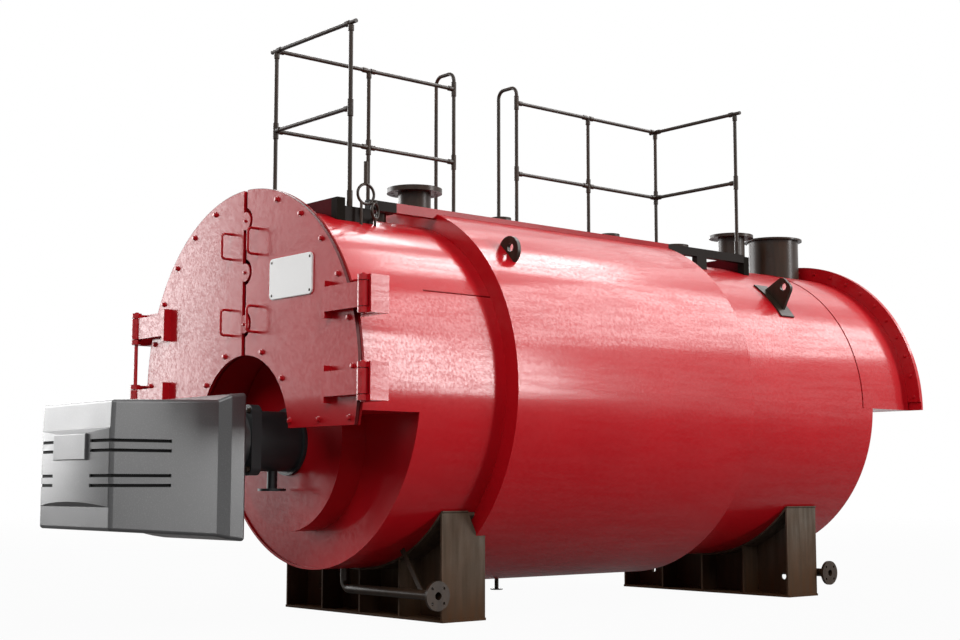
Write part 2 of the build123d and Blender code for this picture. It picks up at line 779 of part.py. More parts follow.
def drain_elbow(r, y, reach):
    """Round run that drops from a drum, turns a quarter circle and goes out to the right."""
    bend_x = drain_x + drain_bend
    bend_z = drain_z + drain_bend
    ring = Pos(bend_x, y, bend_z) * Rot(90, 0, 0) * Torus(drain_bend, r)
    quarter = block(drain_x - far, bend_x, y - far, y + far, drain_z - far, bend_z)
    return rod_z(r, bend_z, -drum_r / 2, drain_x, y) + rod_x(r, bend_x, reach, y, drain_z) + (ring & quarter)


def drain(y):
    """Bent drain pipe under a drum, braced to it and led out to a drilled flange."""
    run = drain_elbow(drain_r, y, drain_reach)
    run += rod_x(drain_flange_r, drain_reach - drain_flange_t, drain_reach, y, drain_z)
    top_z = -drum_height(drum_r, brace_top_x)
    rise = top_z - drain_z
    reach = brace_low_x - brace_top_x
    middle = Pos((brace_top_x + brace_low_x) / 2, y, (top_z + drain_z) / 2)
    bar = middle * Rot(0, degrees(atan2(rise, reach)), 0) * Box(hypot(rise, reach), brace_t, brace_w)
    run += bar
    run -= drain_elbow(drain_r - drain_wall, y, drain_reach + past)
    for spot in PolarLocations(drain_pcd_r, drain_bolts, start_angle=45):
        hole = spot * Cylinder(drain_bolt_r, 3 * drain_flange_t)
        run -= Pos(drain_reach, y, drain_z) * Rot(0, 90, 0) * hole
    return run - rod_y(drum_r + seat, y - drum_r, y + drum_r)


def supports_and_drains():
    """Saddles, the two drain pipes and the blow-down stub of the main drum."""
    pieces["front_saddle"] = [notched_front_saddle()]
    pieces["rear_saddle"] = [saddle(rear_saddle_y)]
    pieces["front_drain"] = [drain(drain_front_y)]
    pieces["rear_drain"] = [drain(drain_rear_y)]
    low = -main_r - blowdown_drop
    stub = rod_z(blowdown_r, low, -main_r / 2, 0, blowdown_y)
    stub += rod_z(blowdown_flange_r, low, low + blowdown_flange_t, 0, blowdown_y)
    pieces["blowdown_stub"] = [stub - rod_y(main_r + seat, blowdown_y - main_r, blowdown_y + main_r)]


drums()
smokebox()
doors()
hinges()
burner()
crown()
lugs()
siphons()
platform()
railing()
supports_and_drains()

os.makedirs("parts", exist_ok=True)
to_floor = Pos(0, -saddle_y, axis_height)
for name, solids in pieces.items():
    moved = []
    for shape in solids:
        moved += [to_floor * solid for solid in shape.solids()]
    export_step(Compound(children=moved), f"parts/{name}.step")
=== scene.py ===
"""Studio view of a horizontal fire-tube boiler: finishes, fasteners, light and camera.

The frame gives the boiler's solids in metres, with the origin on the floor under
the middle of the front saddle, the front towards -Y and Z up. This script paints
them, adds the small fasteners and plates, and sets up the studio round them.
"""
import logging
import math
from dataclasses import dataclass
from enum import Enum
from typing import Any, Iterable

import bmesh
import bpy
from mathutils import Matrix, Vector


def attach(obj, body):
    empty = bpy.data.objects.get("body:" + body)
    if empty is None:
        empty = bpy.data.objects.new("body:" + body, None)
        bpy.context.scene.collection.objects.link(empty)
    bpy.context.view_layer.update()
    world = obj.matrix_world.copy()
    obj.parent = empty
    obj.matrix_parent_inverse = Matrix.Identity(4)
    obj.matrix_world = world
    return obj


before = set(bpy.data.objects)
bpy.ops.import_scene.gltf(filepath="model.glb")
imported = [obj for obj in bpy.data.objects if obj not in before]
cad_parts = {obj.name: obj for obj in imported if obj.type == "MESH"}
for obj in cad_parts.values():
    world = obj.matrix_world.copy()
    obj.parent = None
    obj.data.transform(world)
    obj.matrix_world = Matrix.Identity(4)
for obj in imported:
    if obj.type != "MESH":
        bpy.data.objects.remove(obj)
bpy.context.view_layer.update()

LOG = logging.getLogger("boiler")
MM = 0.001
SADDLE_Y = 1066.0
AXIS_Z = 1418.0
DRUM_R = 1120.0
DOOR_R = 1200.0
DOOR_RISE = 25.0
SEAT = 0.3
MERGE = 0.01
FRONT = Vector((0.0, -1.0, 0.0))
REAR = Vector((0.0, 1.0, 0.0))
UP = Vector((0.0, 0.0, 1.0))

Colour = tuple[float, float, float, float]


class Body(Enum):
    """Bodies of the boiler that a piece can ride on."""

    BOILER = "boiler"
    RIGHT_DOOR = "right_door"
    LEFT_DOOR = "left_door"


class Slot(Enum):
    """Finishes that the boiler's record names."""

    RED = "red_paint"
    BLACK = "black_paint"
    GREY = "burner_grey"
    CHARCOAL = "charcoal"


def spot(x: float, y: float, z: float) -> Vector:
    """Point given from the drum axis and the door face.

    Args:
        x: Millimetres to the right of the drum axis.
        y: Millimetres behind the face of the closed doors.
        z: Millimetres above the drum axis.

    Returns:
        The point in metres, in the boiler's own frame.
    """
    return Vector((x, y - SADDLE_Y, z + AXIS_Z)) * MM


def turned(origin: Vector, out: Vector) -> Matrix:
    """Place whose Z axis points out of a surface.

    Args:
        origin: Point on the surface.
        out: Direction away from the surface.

    Returns:
        The matrix of that place.
    """
    return Matrix.Translation(origin) @ out.to_track_quat("Z", "Y").to_matrix().to_4x4()


class Signal:
    """Output socket that adds maths nodes when it stands in an expression."""

    def __init__(self, graph: "Graph", socket: bpy.types.NodeSocket) -> None:
        """Keep the socket and the graph that it belongs to."""
        self.graph = graph
        self.socket = socket

    def _maths(self, operation: str, first: "Signal | float", second: "Signal | float") -> "Signal":
        """One Math node on two values."""
        return self.graph.node("ShaderNodeMath", {"operation": operation}, {0: first, 1: second})

    def __add__(self, other: "Signal | float") -> "Signal":
        """Sum."""
        return self._maths("ADD", self, other)

    __radd__ = __add__

    def __sub__(self, other: "Signal | float") -> "Signal":
        """Difference."""
        return self._maths("SUBTRACT", self, other)

    def __rsub__(self, other: float) -> "Signal":
        """Difference from a number."""
        return self._maths("SUBTRACT", other, self)

    def __mul__(self, other: "Signal | float") -> "Signal":
        """Product."""
        return self._maths("MULTIPLY", self, other)

    __rmul__ = __mul__

    def __truediv__(self, other: "Signal | float") -> "Signal":
        """Quotient."""
        return self._maths("DIVIDE", self, other)

    def __rtruediv__(self, other: float) -> "Signal":
        """Quotient of a number."""
        return self._maths("DIVIDE", other, self)

    def __pow__(self, other: "Signal | float") -> "Signal":
        """Power."""
        return self._maths("POWER", self, other)

    def most(self, other: "Signal | float") -> "Signal":
        """Larger of two values."""
        return self._maths("MAXIMUM", self, other)


class Graph:
    """Node tree of one material or of the studio's surroundings."""

    def __init__(self, tree: bpy.types.NodeTree) -> None:
        """Start from an empty tree."""
        self.tree = tree
        self.tree.nodes.clear()

    @staticmethod
    def _find(sockets: Any, key: str | int) -> bpy.types.NodeSocket:
        """Socket by its number, or the enabled one of that name.

        Args:
            sockets: Inputs or outputs of a node.
            key: Number or name of the socket that is wanted.

        Returns:
            That socket.
        """
        if isinstance(key, int):
            return sockets[key]
        return next(socket for socket in sockets if socket.enabled and socket.name == key)

    def node(
        self, kind: str, settings: dict[str, Any] | None = None,
        sockets: dict[str | int, Any] | None = None, out: str | int = 0,
    ) -> Signal:
        """Add a node.

        Args:
            kind: Type name of the node.
            settings: Properties of the node, set first.
            sockets: Values or links of its input sockets.
            out: Name or number of the output socket that is wanted.

        Returns:
            That output socket.
        """
        node = self.tree.nodes.new(kind)
        for key, value in (settings or {}).items():
            setattr(node, key, value)
        for key, value in (sockets or {}).items():
            socket = self._find(node.inputs, key)
            if isinstance(value, Signal):
                self.tree.links.new(value.socket, socket)
            else:
                socket.default_value = value
        if not node.outputs:
            return Signal(self, node.inputs[0])
        return Signal(self, self._find(node.outputs, out))

    def place(self, stretch: tuple[float, float, float] = (1.0, 1.0, 1.0)) -> Signal:
        """Object coordinates, stretched along the axes."""
        where = self.node("ShaderNodeTexCoord", out="Object")
        return self.node("ShaderNodeMapping", sockets={"Vector": where, "Scale": stretch})

    def along(self, axis: str) -> Signal:
        """Place along one axis of the boiler in metres."""
        where = self.node("ShaderNodeTexCoord", out="Object")
        return self.node("ShaderNodeSeparateXYZ", sockets={0: where}, out=axis)

    def noise(self, where: Signal, scale: float, detail: float = 2.0, rough: float = 0.5) -> Signal:
        """Noise between 0 and 1."""
        sockets = {"Vector": where, "Scale": scale, "Detail": detail, "Roughness": rough}
        return self.node("ShaderNodeTexNoise", sockets=sockets)

    def spots(self, where: Signal, scale: float, size: float) -> Signal:
        """Round spots, one in each cell, that fade out from their middles."""
        cells = self.node("ShaderNodeTexVoronoi", sockets={"Vector": where, "Scale": scale})
        return (1.0 - cells / size).most(0.0)

    def spread(self, value: Signal, low: float, high: float) -> Signal:
        """Value between two levels, spread over 0 to 1."""
        sockets = {"Value": value, "From Min": low, "From Max": high}
        return self.node("ShaderNodeMapRange", {"clamp": True}, sockets)

    def mix(self, share: Signal | float, first: Signal | Colour, second: Signal | Colour) -> Signal:
        """Colour between two colours."""
        sockets = {"Factor": share, "A": first, "B": second}
        return self.node("ShaderNodeMix", {"data_type": "RGBA"}, sockets, "Result")

    def bump(self, height: Signal, strength: float, distance: float) -> Signal:
        """Normal of a relief."""
        sockets = {"Height": height, "Strength": strength, "Distance": distance}
        return self.node("ShaderNodeBump", sockets=sockets)

    def surface(self, sockets: dict[str, Any]) -> None:
        """Principled surface that the material shows."""
        shader = self.node("ShaderNodeBsdfPrincipled", sockets=sockets)
        self.node("ShaderNodeOutputMaterial", sockets={"Surface": shader})


def new_graph(name: str) -> tuple[bpy.types.Material, Graph]:
    """Material of that name with an empty node tree.

    Args:
        name: Name of the material.

    Returns:
        The material and its graph.
    """
    material = bpy.data.materials.new(name)
    material.use_nodes = True
    return material, Graph(material.node_tree)


@dataclass(frozen=True)
class GlossPaint:
    """Gloss paint with orange peel, fine grain and a few dust nibs under a clear coat, and painted shade on
    a round plate's rim.
    """

    name: str
    colour: Colour
    deep: Colour
    rough: float = 0.3
    coat: float = 0.5
    coat_rough: float = 0.14
    specular: float = 0.08
    grain_scale: float = 420.0
    speck_scale: float = 65.0
    speck_share: float = 0.9
    peel_scale: float = 90.0
    peel_depth: float = 0.0016
    nib_scale: float = 26.0
    cloud_scale: float = 1.7
    run_scale: float = 3.0
    run_stretch: tuple[float, float, float] = (9.0, 0.7, 9.0)
    # Painted shade on a round plate's rim: the paint turns dark red within a few millimetres of radius rim_r
    # round height rim_z, and on the edge beyond.
    rim_r: float = 0.0
    rim_z: float = 0.0
    rim_shade_colour: Colour = (0.075, 0.001, 0.002, 1.0)

    def _face(self, graph: Graph) -> Signal:
        """Share of a round plate's face against its rim, which gets the painted shade.

        Args:
            graph: Graph that gets the nodes.

        Returns:
            One on the face, zero on the rim.
        """
        x = graph.along("X")
        z = graph.along("Z") - self.rim_z
        reach = (x * x + z * z) ** 0.5
        return 1.0 - graph.spread(reach, self.rim_r - 0.003, self.rim_r - 0.001)

    def make(self) -> bpy.types.Material:
        """Build the material.

        Returns:
            The new material.
        """
        material, graph = new_graph(self.name)
        where = graph.place()
        grain = graph.noise(where, self.grain_scale, 1.0)
        peel = graph.noise(where, self.peel_scale, 1.5)
        cloud = graph.noise(where, self.cloud_scale, 4.0, 0.6)
        runs = graph.noise(graph.place(self.run_stretch), self.run_scale, 3.0)
        nibs = graph.spots(where, self.nib_scale, 0.1)
        specks = graph.noise(where, self.speck_scale, 2.0)
        gloss = graph.spread(specks * 0.6 + runs * 0.4, 0.4, 0.6)
        tone = graph.spread(grain * 0.2 + specks * 0.4 + cloud * 0.4, 0.35, 0.65)
        sheen = graph.spread(runs * 0.6 + cloud * 0.4, 0.3, 0.75)
        height = peel + grain * 0.25 + nibs * 1.5
        paint = graph.mix(tone, self.deep, self.colour)
        shine = (gloss * self.speck_share + (1.0 - self.speck_share / 2)) * self.coat
        # Painted shade: the rim turns dark red and loses its coat, so it shows no reflection.
        if self.rim_r:
            face = self._face(graph)
            paint = graph.mix(face, self.rim_shade_colour, paint)
            shine = shine * face
        graph.surface({
            "Base Color": paint,
            "Roughness": sheen * 0.12 + self.rough,
            "Specular IOR Level": self.specular,
            "Coat Weight": shine,
            "Coat Roughness": self.coat_rough,
            "Normal": graph.bump(height, 0.12, self.peel_depth),
        })
        return material


@dataclass(frozen=True)
class SatinPaint:
    """Dark satin paint with brown and greenish patches, thin runs, and a set colour towards the floor that
    is painted shade.
    """

    name: str
    colour: Colour
    warm: Colour
    cool: Colour
    low_shade: Colour
    rough: float = 0.34
    specular: float = 0.13
    patch_scale: float = 2.4
    grain_scale: float = 320.0
    run_scale: float = 4.0
    run_stretch: tuple[float, float, float] = (6.0, 6.0, 0.6)
    low_shade_heights: tuple[float, float] = (0.05, 0.7)

    def make(self) -> bpy.types.Material:
        """Build the material.

        Returns:
            The new material.
        """
        material, graph = new_graph(self.name)
        where = graph.place()
        patch = graph.spread(graph.noise(where, self.patch_scale, 3.0, 0.6), 0.35, 0.65)
        grain = graph.noise(where, self.grain_scale, 2.0)
        runs = graph.noise(graph.place(self.run_stretch), self.run_scale, 3.0)
        # Painted shade: near the floor the paint turns to its low colour, darker and browner on the saddles,
        # lighter towards their tops.
        rise = graph.spread(graph.along("Z") + patch * 0.1, *self.low_shade_heights)
        tint = graph.mix(rise, self.low_shade, graph.mix(patch, self.warm, self.cool))
        shade = graph.spread(runs * 0.6 + grain * 0.4, 0.3, 0.7)
        graph.surface({
            "Base Color": graph.mix(shade, self.colour, tint),
            "Roughness": patch * 0.12 + grain * 0.08 + self.rough,
            "Specular IOR Level": self.specular,
            "Normal": graph.bump(grain + runs * 0.5, 0.1, 0.0006),
        })
        return material


@dataclass(frozen=True)
class TwoTone:
    """Paint of a bar that has one colour on its middle stretch and another on its ends."""

    name: str
    axis: str
    stretch: tuple[float, float]
    middle: Colour
    ends: Colour
    coat: float
    coat_rough: float = 0.2
    edge: float = 0.004
    rough: float = 0.36
    specular: float = 0.1
    wear: float = 0.35
    worn_colour: Colour = (0.0, 0.0, 0.0, 1.0)
    grain_scale: float = 140.0
    cloud_scale: float = 4.0

    def make(self) -> bpy.types.Material:
        """Build the material.

        Returns:
            The new material.
        """
        material, graph = new_graph(self.name)
        place = graph.along(self.axis)
        low, high = self.stretch
        started = graph.spread(place, low - self.edge, low + self.edge)
        ended = graph.spread(place, high - self.edge, high + self.edge)
        share = started * (1.0 - ended)
        grain = graph.noise(graph.place(), self.grain_scale, 3.0)
        cloud = graph.noise(graph.place(), self.cloud_scale, 3.0)
        worn = graph.spread(grain * 0.5 + cloud * 0.5, 0.3, 0.7)
        paint = graph.mix(share, self.ends, self.middle)
        graph.surface({
            "Base Color": graph.mix(worn * self.wear, paint, self.worn_colour),
            "Roughness": worn * 0.12 + self.rough,
            "Specular IOR Level": self.specular,
            "Coat Weight": share * self.coat,
            "Coat Roughness": self.coat_rough,
            "Normal": graph.bump(grain, 0.1, 0.0006),
        })
        return material


@dataclass(frozen=True)
class PowderCoat:
    """Finely textured coating of a cast cover, with faint lighter flecks."""

    name: str
    colour: Colour
    fleck: Colour
    rough: float = 0.42
    grain_scale: float = 380.0
    relief: float = 0.0009
    specular: float = 0.5
    cloud_scale: float = 3.0

    def make(self) -> bpy.types.Material:
        """Build the material.

        Returns:
            The new material.
        """
        material, graph = new_graph(self.name)
        where = graph.place()
        grain = graph.noise(where, self.grain_scale, 3.0, 0.65)
        cloud = graph.noise(where, self.cloud_scale, 3.0)
        flecks = graph.spread(grain, 0.52, 0.75)
        graph.surface({
            "Base Color": graph.mix(flecks * 0.6 + cloud * 0.25, self.colour, self.fleck),
            "Roughness": cloud * 0.12 + grain * 0.1 + self.rough,
            "Specular IOR Level": self.specular,
            "Normal": graph.bump(grain, 0.25, self.relief),
        })
        return material


@dataclass(frozen=True)
class BrushedPlate:
    """Coated sheet of a sign plate, with a trace of the brush under it."""

    name: str
    colour: Colour
    shade: Colour
    rough: float = 0.35
    brush_scale: float = 30.0
    brush_stretch: tuple[float, float, float] = (1.0, 40.0, 40.0)
    cloud_scale: float = 12.0

    def make(self) -> bpy.types.Material:
        """Build the material.

        Returns:
            The new material.
        """
        material, graph = new_graph(self.name)
        brush = graph.noise(graph.place(self.brush_stretch), self.brush_scale, 2.0)
        cloud = graph.noise(graph.place(), self.cloud_scale, 2.0)
        graph.surface({
            "Base Color": graph.mix(brush * 0.6 + cloud * 0.4, self.shade, self.colour),
            "Roughness": cloud * 0.15 + self.rough,
            "Normal": graph.bump(brush, 0.08, 0.0003),
        })
        return material


Finish = GlossPaint | SatinPaint | TwoTone | PowderCoat | BrushedPlate


class Paints:
    """Every finish of the boiler, made once."""

    RED_TONE: Colour = (0.46, 0.0045, 0.01, 1.0)
    RED_DEEP: Colour = (0.39, 0.0035, 0.008, 1.0)
    RED = GlossPaint("red_gloss_paint", RED_TONE, RED_DEEP)
    # The doors' rims get painted shade: dark red with no coat on their edges.
    DOOR = GlossPaint(
        "red_door_paint_with_rim_shade", RED_TONE, RED_DEEP, rim_r=DOOR_R * MM, rim_z=(AXIS_Z + DOOR_RISE) * MM
    )
    # Dark red with almost no coat: the weld beads' dark joints, and painted shade on the door frame ring.
    SEAM_AND_FRAME_SHADE = GlossPaint(
        "dark_red_seam_and_frame_shade_paint", (0.2, 0.003, 0.005, 1.0), (0.15, 0.002, 0.003, 1.0),
        rough=0.5, coat=0.04, specular=0.02,
    )
    # Painted shade: the front cross support's middle is dark maroon with no coat in place of red, and its
    # ends are near black.
    SHADED_SUPPORT = TwoTone(
        "support_paint_with_painted_shade", "X", (-0.385, 0.385), (0.07, 0.001, 0.004, 1.0), (0.01, 0.008, 0.006, 1.0),
        coat=0.0, rough=0.6, specular=0.02,
    )
    BEAM = TwoTone(
        "beam_paint", "Y", (-0.23, 2.301), (0.34, 0.0055, 0.01, 1.0), (0.014, 0.01, 0.008, 1.0),
        coat=0.16, specular=0.04,
    )
    BLACK = SatinPaint(
        "black_satin_paint", (0.014, 0.008, 0.005, 1.0), (0.05, 0.026, 0.015, 1.0),
        (0.032, 0.026, 0.019, 1.0), (0.05, 0.028, 0.015, 1.0), rough=0.22, specular=0.2,
    )
    # The saddles are darker and browner towards the floor and lighter at the top: painted shade below,
    # painted reflection above.
    SADDLE = SatinPaint(
        "saddle_satin_paint", (0.045, 0.03, 0.019, 1.0), (0.13, 0.088, 0.062, 1.0),
        (0.15, 0.13, 0.108, 1.0), (0.062, 0.022, 0.006, 1.0), specular=0.03,
    )
    GREY = PowderCoat(
        "grey_powder_coat", (0.034, 0.034, 0.035, 1.0), (0.085, 0.085, 0.087, 1.0),
        rough=0.22, specular=0.85, grain_scale=130.0,
    )
    CHARCOAL = PowderCoat(
        "charcoal_cast_iron", (0.012, 0.013, 0.014, 1.0), (0.035, 0.038, 0.04, 1.0), rough=0.36
    )
    # Near-black strips laid in the burner's grooves as painted shade.
    GROOVE_SHADE = PowderCoat(
        "near_black_groove_shade", (0.004, 0.004, 0.004, 1.0), (0.008, 0.008, 0.008, 1.0), rough=0.6, specular=0.1
    )
    PLATE = BrushedPlate("white_sign_plate", (0.82, 0.81, 0.8, 1.0), (0.74, 0.73, 0.72, 1.0))

    def __init__(self) -> None:
        """Start with no material made."""
        self._made: dict[str, bpy.types.Material] = {}

    def get(self, finish: Finish) -> bpy.types.Material:
        """Material of a finish, made on first use.

        Args:
            finish: The finish that is wanted.

        Returns:
            Its material.
        """
        if finish.name not in self._made:
            self._made[finish.name] = finish.make()
        return self._made[finish.name]


@dataclass(frozen=True)
class Bolt:
    """Hexagon head on a washer, in millimetres."""

    head_r: float = 14.0
    head_h: float = 13.0
    washer_r: float = 19.0
    washer_h: float = 3.0


class Metal:
    """Mesh of one new piece, built in metres in the boiler's own frame."""

    def __init__(self) -> None:
        """Start an empty mesh."""
        self.bm = bmesh.new()

    def drum(
        self, place: Matrix, r: float, low: float, high: float, sides: int, chamfer: float = 0.0
    ) -> None:
        """Short cylinder along a place's Z axis.

        Args:
            place: Where its foot stands.
            r: Radius in millimetres.
            low: Start along Z in millimetres.
            high: End along Z in millimetres.
            sides: Number of sides.
            chamfer: Width of the bevel round its top in millimetres.
        """
        middle = place @ Matrix.Translation((0.0, 0.0, (low + high) / 2 * MM))
        made = bmesh.ops.create_cone(
            self.bm, cap_ends=True, segments=sides, radius1=r * MM, radius2=r * MM,
            depth=(high - low) * MM, matrix=middle,
        )
        if chamfer:
            top = place @ Vector((0.0, 0.0, high * MM))
            out = (place.to_3x3() @ UP).normalized()
            tip = {v for v in made["verts"] if abs((v.co - top).dot(out)) < MERGE * MM}
            rim = {e for v in tip for e in v.link_edges if all(end in tip for end in e.verts)}
            bmesh.ops.bevel(
                self.bm, geom=list(rim), offset=chamfer * MM, segments=2, profile=0.5,
                affect="EDGES", material=-1,
            )

    def bolt(self, seat: Vector, out: Vector, size: Bolt) -> None:
        """Bolt head on its washer.

        Args:
            seat: Point on the surface under the washer.
            out: Direction away from the surface.
            size: Sizes of the bolt.
        """
        place = turned(seat, out)
        self.drum(place, size.washer_r, -SEAT, size.washer_h, 20, 0.8)
        self.drum(place, size.head_r, size.washer_h, size.washer_h + size.head_h, 6, 1.6)

    def ring(self, place: Matrix, profile: Iterable[tuple[float, float]], steps: int = 32) -> None:
        """Ring turned from a closed outline.

        Args:
            place: Middle of the ring, with its axis along Z.
            profile: Corners of the section as radius and height, in millimetres.
            steps: Number of steps round the ring.
        """
        section = [self.bm.verts.new(place @ Vector((r * MM, 0.0, h * MM))) for r, h in profile]
        edges = [self.bm.edges.new((a, b)) for a, b in zip(section, section[1:] + section[:1])]
        out = (place.to_3x3() @ UP).normalized()
        bmesh.ops.spin(
            self.bm, geom=section + edges, cent=place.translation, axis=out, dvec=(0.0, 0.0, 0.0),
            angle=math.tau, steps=steps, use_merge=True, use_duplicate=False,
        )

    def hoop(self, centre: Vector, r: float, bead_r: float, low: float, steps: int = 96) -> None:
        """Round bead over the upper half of a drum.

        Args:
            centre: Point on the drum axis.
            r: Radius of the bead's middle line in millimetres.
            bead_r: Radius of the bead in millimetres.
            low: Angle of its ends above the level of the axis in degrees.
            steps: Number of steps round the drum.
        """
        foot = Matrix.Translation(centre) @ Matrix.Rotation(math.radians(-low), 4, "Y")
        place = foot @ Matrix.Translation((r * MM, 0.0, 0.0))
        made = bmesh.ops.create_circle(self.bm, cap_ends=True, segments=8, radius=bead_r * MM, matrix=place)
        faces = {face for vert in made["verts"] for face in vert.link_faces}
        edges = {edge for face in faces for edge in face.edges}
        bmesh.ops.spin(
            self.bm, geom=made["verts"] + list(edges) + list(faces), cent=centre, axis=FRONT,
            dvec=(0.0, 0.0, 0.0), angle=math.radians(180.0 - 2.0 * low), steps=steps, use_duplicate=False,
        )

    def sleeve(self, start: Vector, along: Vector, bore: float, r: float, length: float) -> None:
        """Short sleeve round a tube, with chamfered ends.

        Args:
            start: Middle of its first end.
            along: Direction in which it runs.
            bore: Radius of the tube inside it in millimetres.
            r: Outer radius in millimetres.
            length: Length in millimetres.
        """
        edge = (r - bore) / 2
        first = ((bore, 0.0), (r - edge, 0.0), (r, edge))
        last = ((r, length - edge), (r - edge, length), (bore, length))
        self.ring(turned(start, along), first + last, 20)

    def piece(
        self, name: str, body: Body, material: bpy.types.Material, flat_deg: float = 35.0
    ) -> None:
        """Turn the mesh into a piece that rides on a body.

        Args:
            name: Name of the piece.
            body: Body that carries it.
            material: Its material.
            flat_deg: Edges sharper than this stay sharp.
        """
        bmesh.ops.remove_doubles(self.bm, verts=self.bm.verts, dist=MERGE * MM)
        bmesh.ops.recalc_face_normals(self.bm, faces=self.bm.faces)
        for face in self.bm.faces:
            face.smooth = True
        for edge in self.bm.edges:
            edge.smooth = edge.is_manifold and edge.calc_face_angle() < math.radians(flat_deg)
        mesh = bpy.data.meshes.new(name)
        self.bm.to_mesh(mesh)
        self.bm.free()
        mesh.materials.append(material)
        made = bpy.data.objects.new(name, mesh)
        bpy.context.scene.collection.objects.link(made)
        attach(made, body.value)
        LOG.info("%s rides on %s with %d faces", name, body.value, len(mesh.polygons))


@dataclass
class Shell:
    """The boiler's own solids and the paint that each one wears."""

    grey: tuple[str, ...] = ("burner_housing",)
    charcoal: tuple[str, ...] = ("burner_flange", "blast_tube", "gas_inlet")
    black: tuple[str, ...] = (
        "steam_branch", "rear_branch", "flue_outlet", "crown_flanges", "front_lugs", "rear_lugs", "siphons",
        "railing_posts", "railing_rails", "railing_hoops", "front_drain", "rear_drain",
        "blowdown_stub",
    )
    saddle: tuple[str, ...] = ("front_saddle", "rear_saddle")
    door: tuple[str, ...] = ("right_door", "left_door")
    # The door frame ring wears the dark seam red as painted shade.
    shaded_frame: tuple[str, ...] = ("door_frame",)
    support: tuple[str, ...] = ("platform_supports",)
    beam: tuple[str, ...] = ("platform_beams",)

    def _finish(self, name: str) -> Finish:
        """Finish of a solid.

        Args:
            name: Name of the solid.

        Returns:
            Its finish, which is red where no group names it.
        """
        groups = (
            (self.grey, Paints.GREY), (self.charcoal, Paints.CHARCOAL), (self.black, Paints.BLACK),
            (self.saddle, Paints.SADDLE), (self.door, Paints.DOOR), (self.shaded_frame, Paints.SEAM_AND_FRAME_SHADE),
            (self.support, Paints.SHADED_SUPPORT), (self.beam, Paints.BEAM),
        )
        return next((finish for names, finish in groups if name in names), Paints.RED)

    def dress(self, paints: Paints) -> None:
        """Paint every solid of the frame.

        Args:
            paints: Finishes of the boiler.
        """
        for name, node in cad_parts.items():
            finish = self._finish(name)
            for holder in node.material_slots:
                holder.material = paints.get(finish)
            LOG.info("%s wears %s", name, finish.name)


@dataclass
class Doors:
    """Bolts of both doors and the bare plate on the right one."""

    bolt: Bolt = Bolt()
    rise: float = DOOR_RISE
    rim_r: float = 1150.0
    rim_angles: tuple[float, ...] = (2.0, 16.0, 30.0, 44.0, 58.0, 72.0)
    arch_r: float = 546.0
    arch_z: float = -300.0
    arch_angles: tuple[float, ...] = (37.7, 67.1)
    foot_spots: tuple[tuple[float, float], ...] = ((526.0, -221.0), (823.0, -221.0), (1124.0, -221.0))
    tab_heights: tuple[float, ...] = (1032.0, 710.5, 389.0)
    tab_bolt: Bolt = Bolt(head_r=9.0, head_h=8.0, washer_r=13.0, washer_h=2.0)
    plate_x: tuple[float, float] = (297.0, 746.0)
    plate_z: tuple[float, float] = (510.0, 756.0)
    plate_t: float = 9.0
    plate_cut: float = 30.0
    plate_margin: float = 4.0
    plate_crown: float = 1.2
    screw: Bolt = Bolt(head_r=6.0, head_h=3.0, washer_r=9.0, washer_h=1.5)
    screw_in: float = 24.0

    def _spots(self) -> list[tuple[float, float]]:
        """Bolt places of the right door.

        Returns:
            Places across and above the drum axis in millimetres.
        """
        spots = []
        for degrees in self.rim_angles:
            angle = math.radians(degrees)
            spots.append((self.rim_r * math.cos(angle), self.rise + self.rim_r * math.sin(angle)))
        for degrees in self.arch_angles:
            angle = math.radians(degrees)
            spots.append((self.arch_r * math.cos(angle), self.arch_z + self.arch_r * math.sin(angle)))
        return spots + list(self.foot_spots)

    def build(self, paints: Paints) -> None:
        """Make the bolts and the plate.

        Args:
            paints: Finishes of the boiler.
        """
        right = Metal()
        left = Metal()
        for x, z in self._spots():
            right.bolt(spot(x, 0.0, z), FRONT, self.bolt)
            left.bolt(spot(-x, 0.0, z), FRONT, self.bolt)
        for z in self.tab_heights:
            left.bolt(spot(0.0, 0.0, z), FRONT, self.tab_bolt)
        right.piece("right_door_bolts", Body.RIGHT_DOOR, paints.get(Paints.RED))
        left.piece("left_door_bolts", Body.LEFT_DOOR, paints.get(Paints.RED))
        self._plate(paints)

    def _plate(self, paints: Paints) -> None:
        """Bare sign plate with cut corners.

        Args:
            paints: Finishes of the boiler.
        """
        x0, x1 = self.plate_x
        z0, z1 = self.plate_z
        plate = Metal()
        bm = plate.bm
        corners = [bm.verts.new(spot(x, SEAT, z)) for x, z in ((x0, z0), (x1, z0), (x1, z1), (x0, z1))]
        bm.faces.new(corners)
        bmesh.ops.bevel(
            bm, geom=corners, offset=self.plate_cut * MM, segments=4, profile=0.5,
            affect="VERTICES", material=-1,
        )
        raised = bmesh.ops.extrude_face_region(bm, geom=list(bm.faces))
        moved = [item for item in raised["geom"] if isinstance(item, bmesh.types.BMVert)]
        bmesh.ops.translate(bm, verts=moved, vec=(0.0, -(self.plate_t + SEAT) * MM, 0.0))
        face = [item for item in raised["geom"] if isinstance(item, bmesh.types.BMFace)]
        bmesh.ops.inset_region(bm, faces=face, thickness=self.plate_margin * MM, depth=self.plate_crown * MM)
        plate.piece("sign_plate", Body.RIGHT_DOOR, paints.get(Paints.PLATE), flat_deg=8.0)
        screws = Metal()
        for x in (x0 + self.screw_in, x1 - self.screw_in):
            for z in (z0 + self.screw_in, z1 - self.screw_in):
                screws.bolt(spot(x, -self.plate_t, z), FRONT, self.screw)
        screws.piece("sign_plate_screws", Body.RIGHT_DOOR, paints.get(Paints.BLACK))


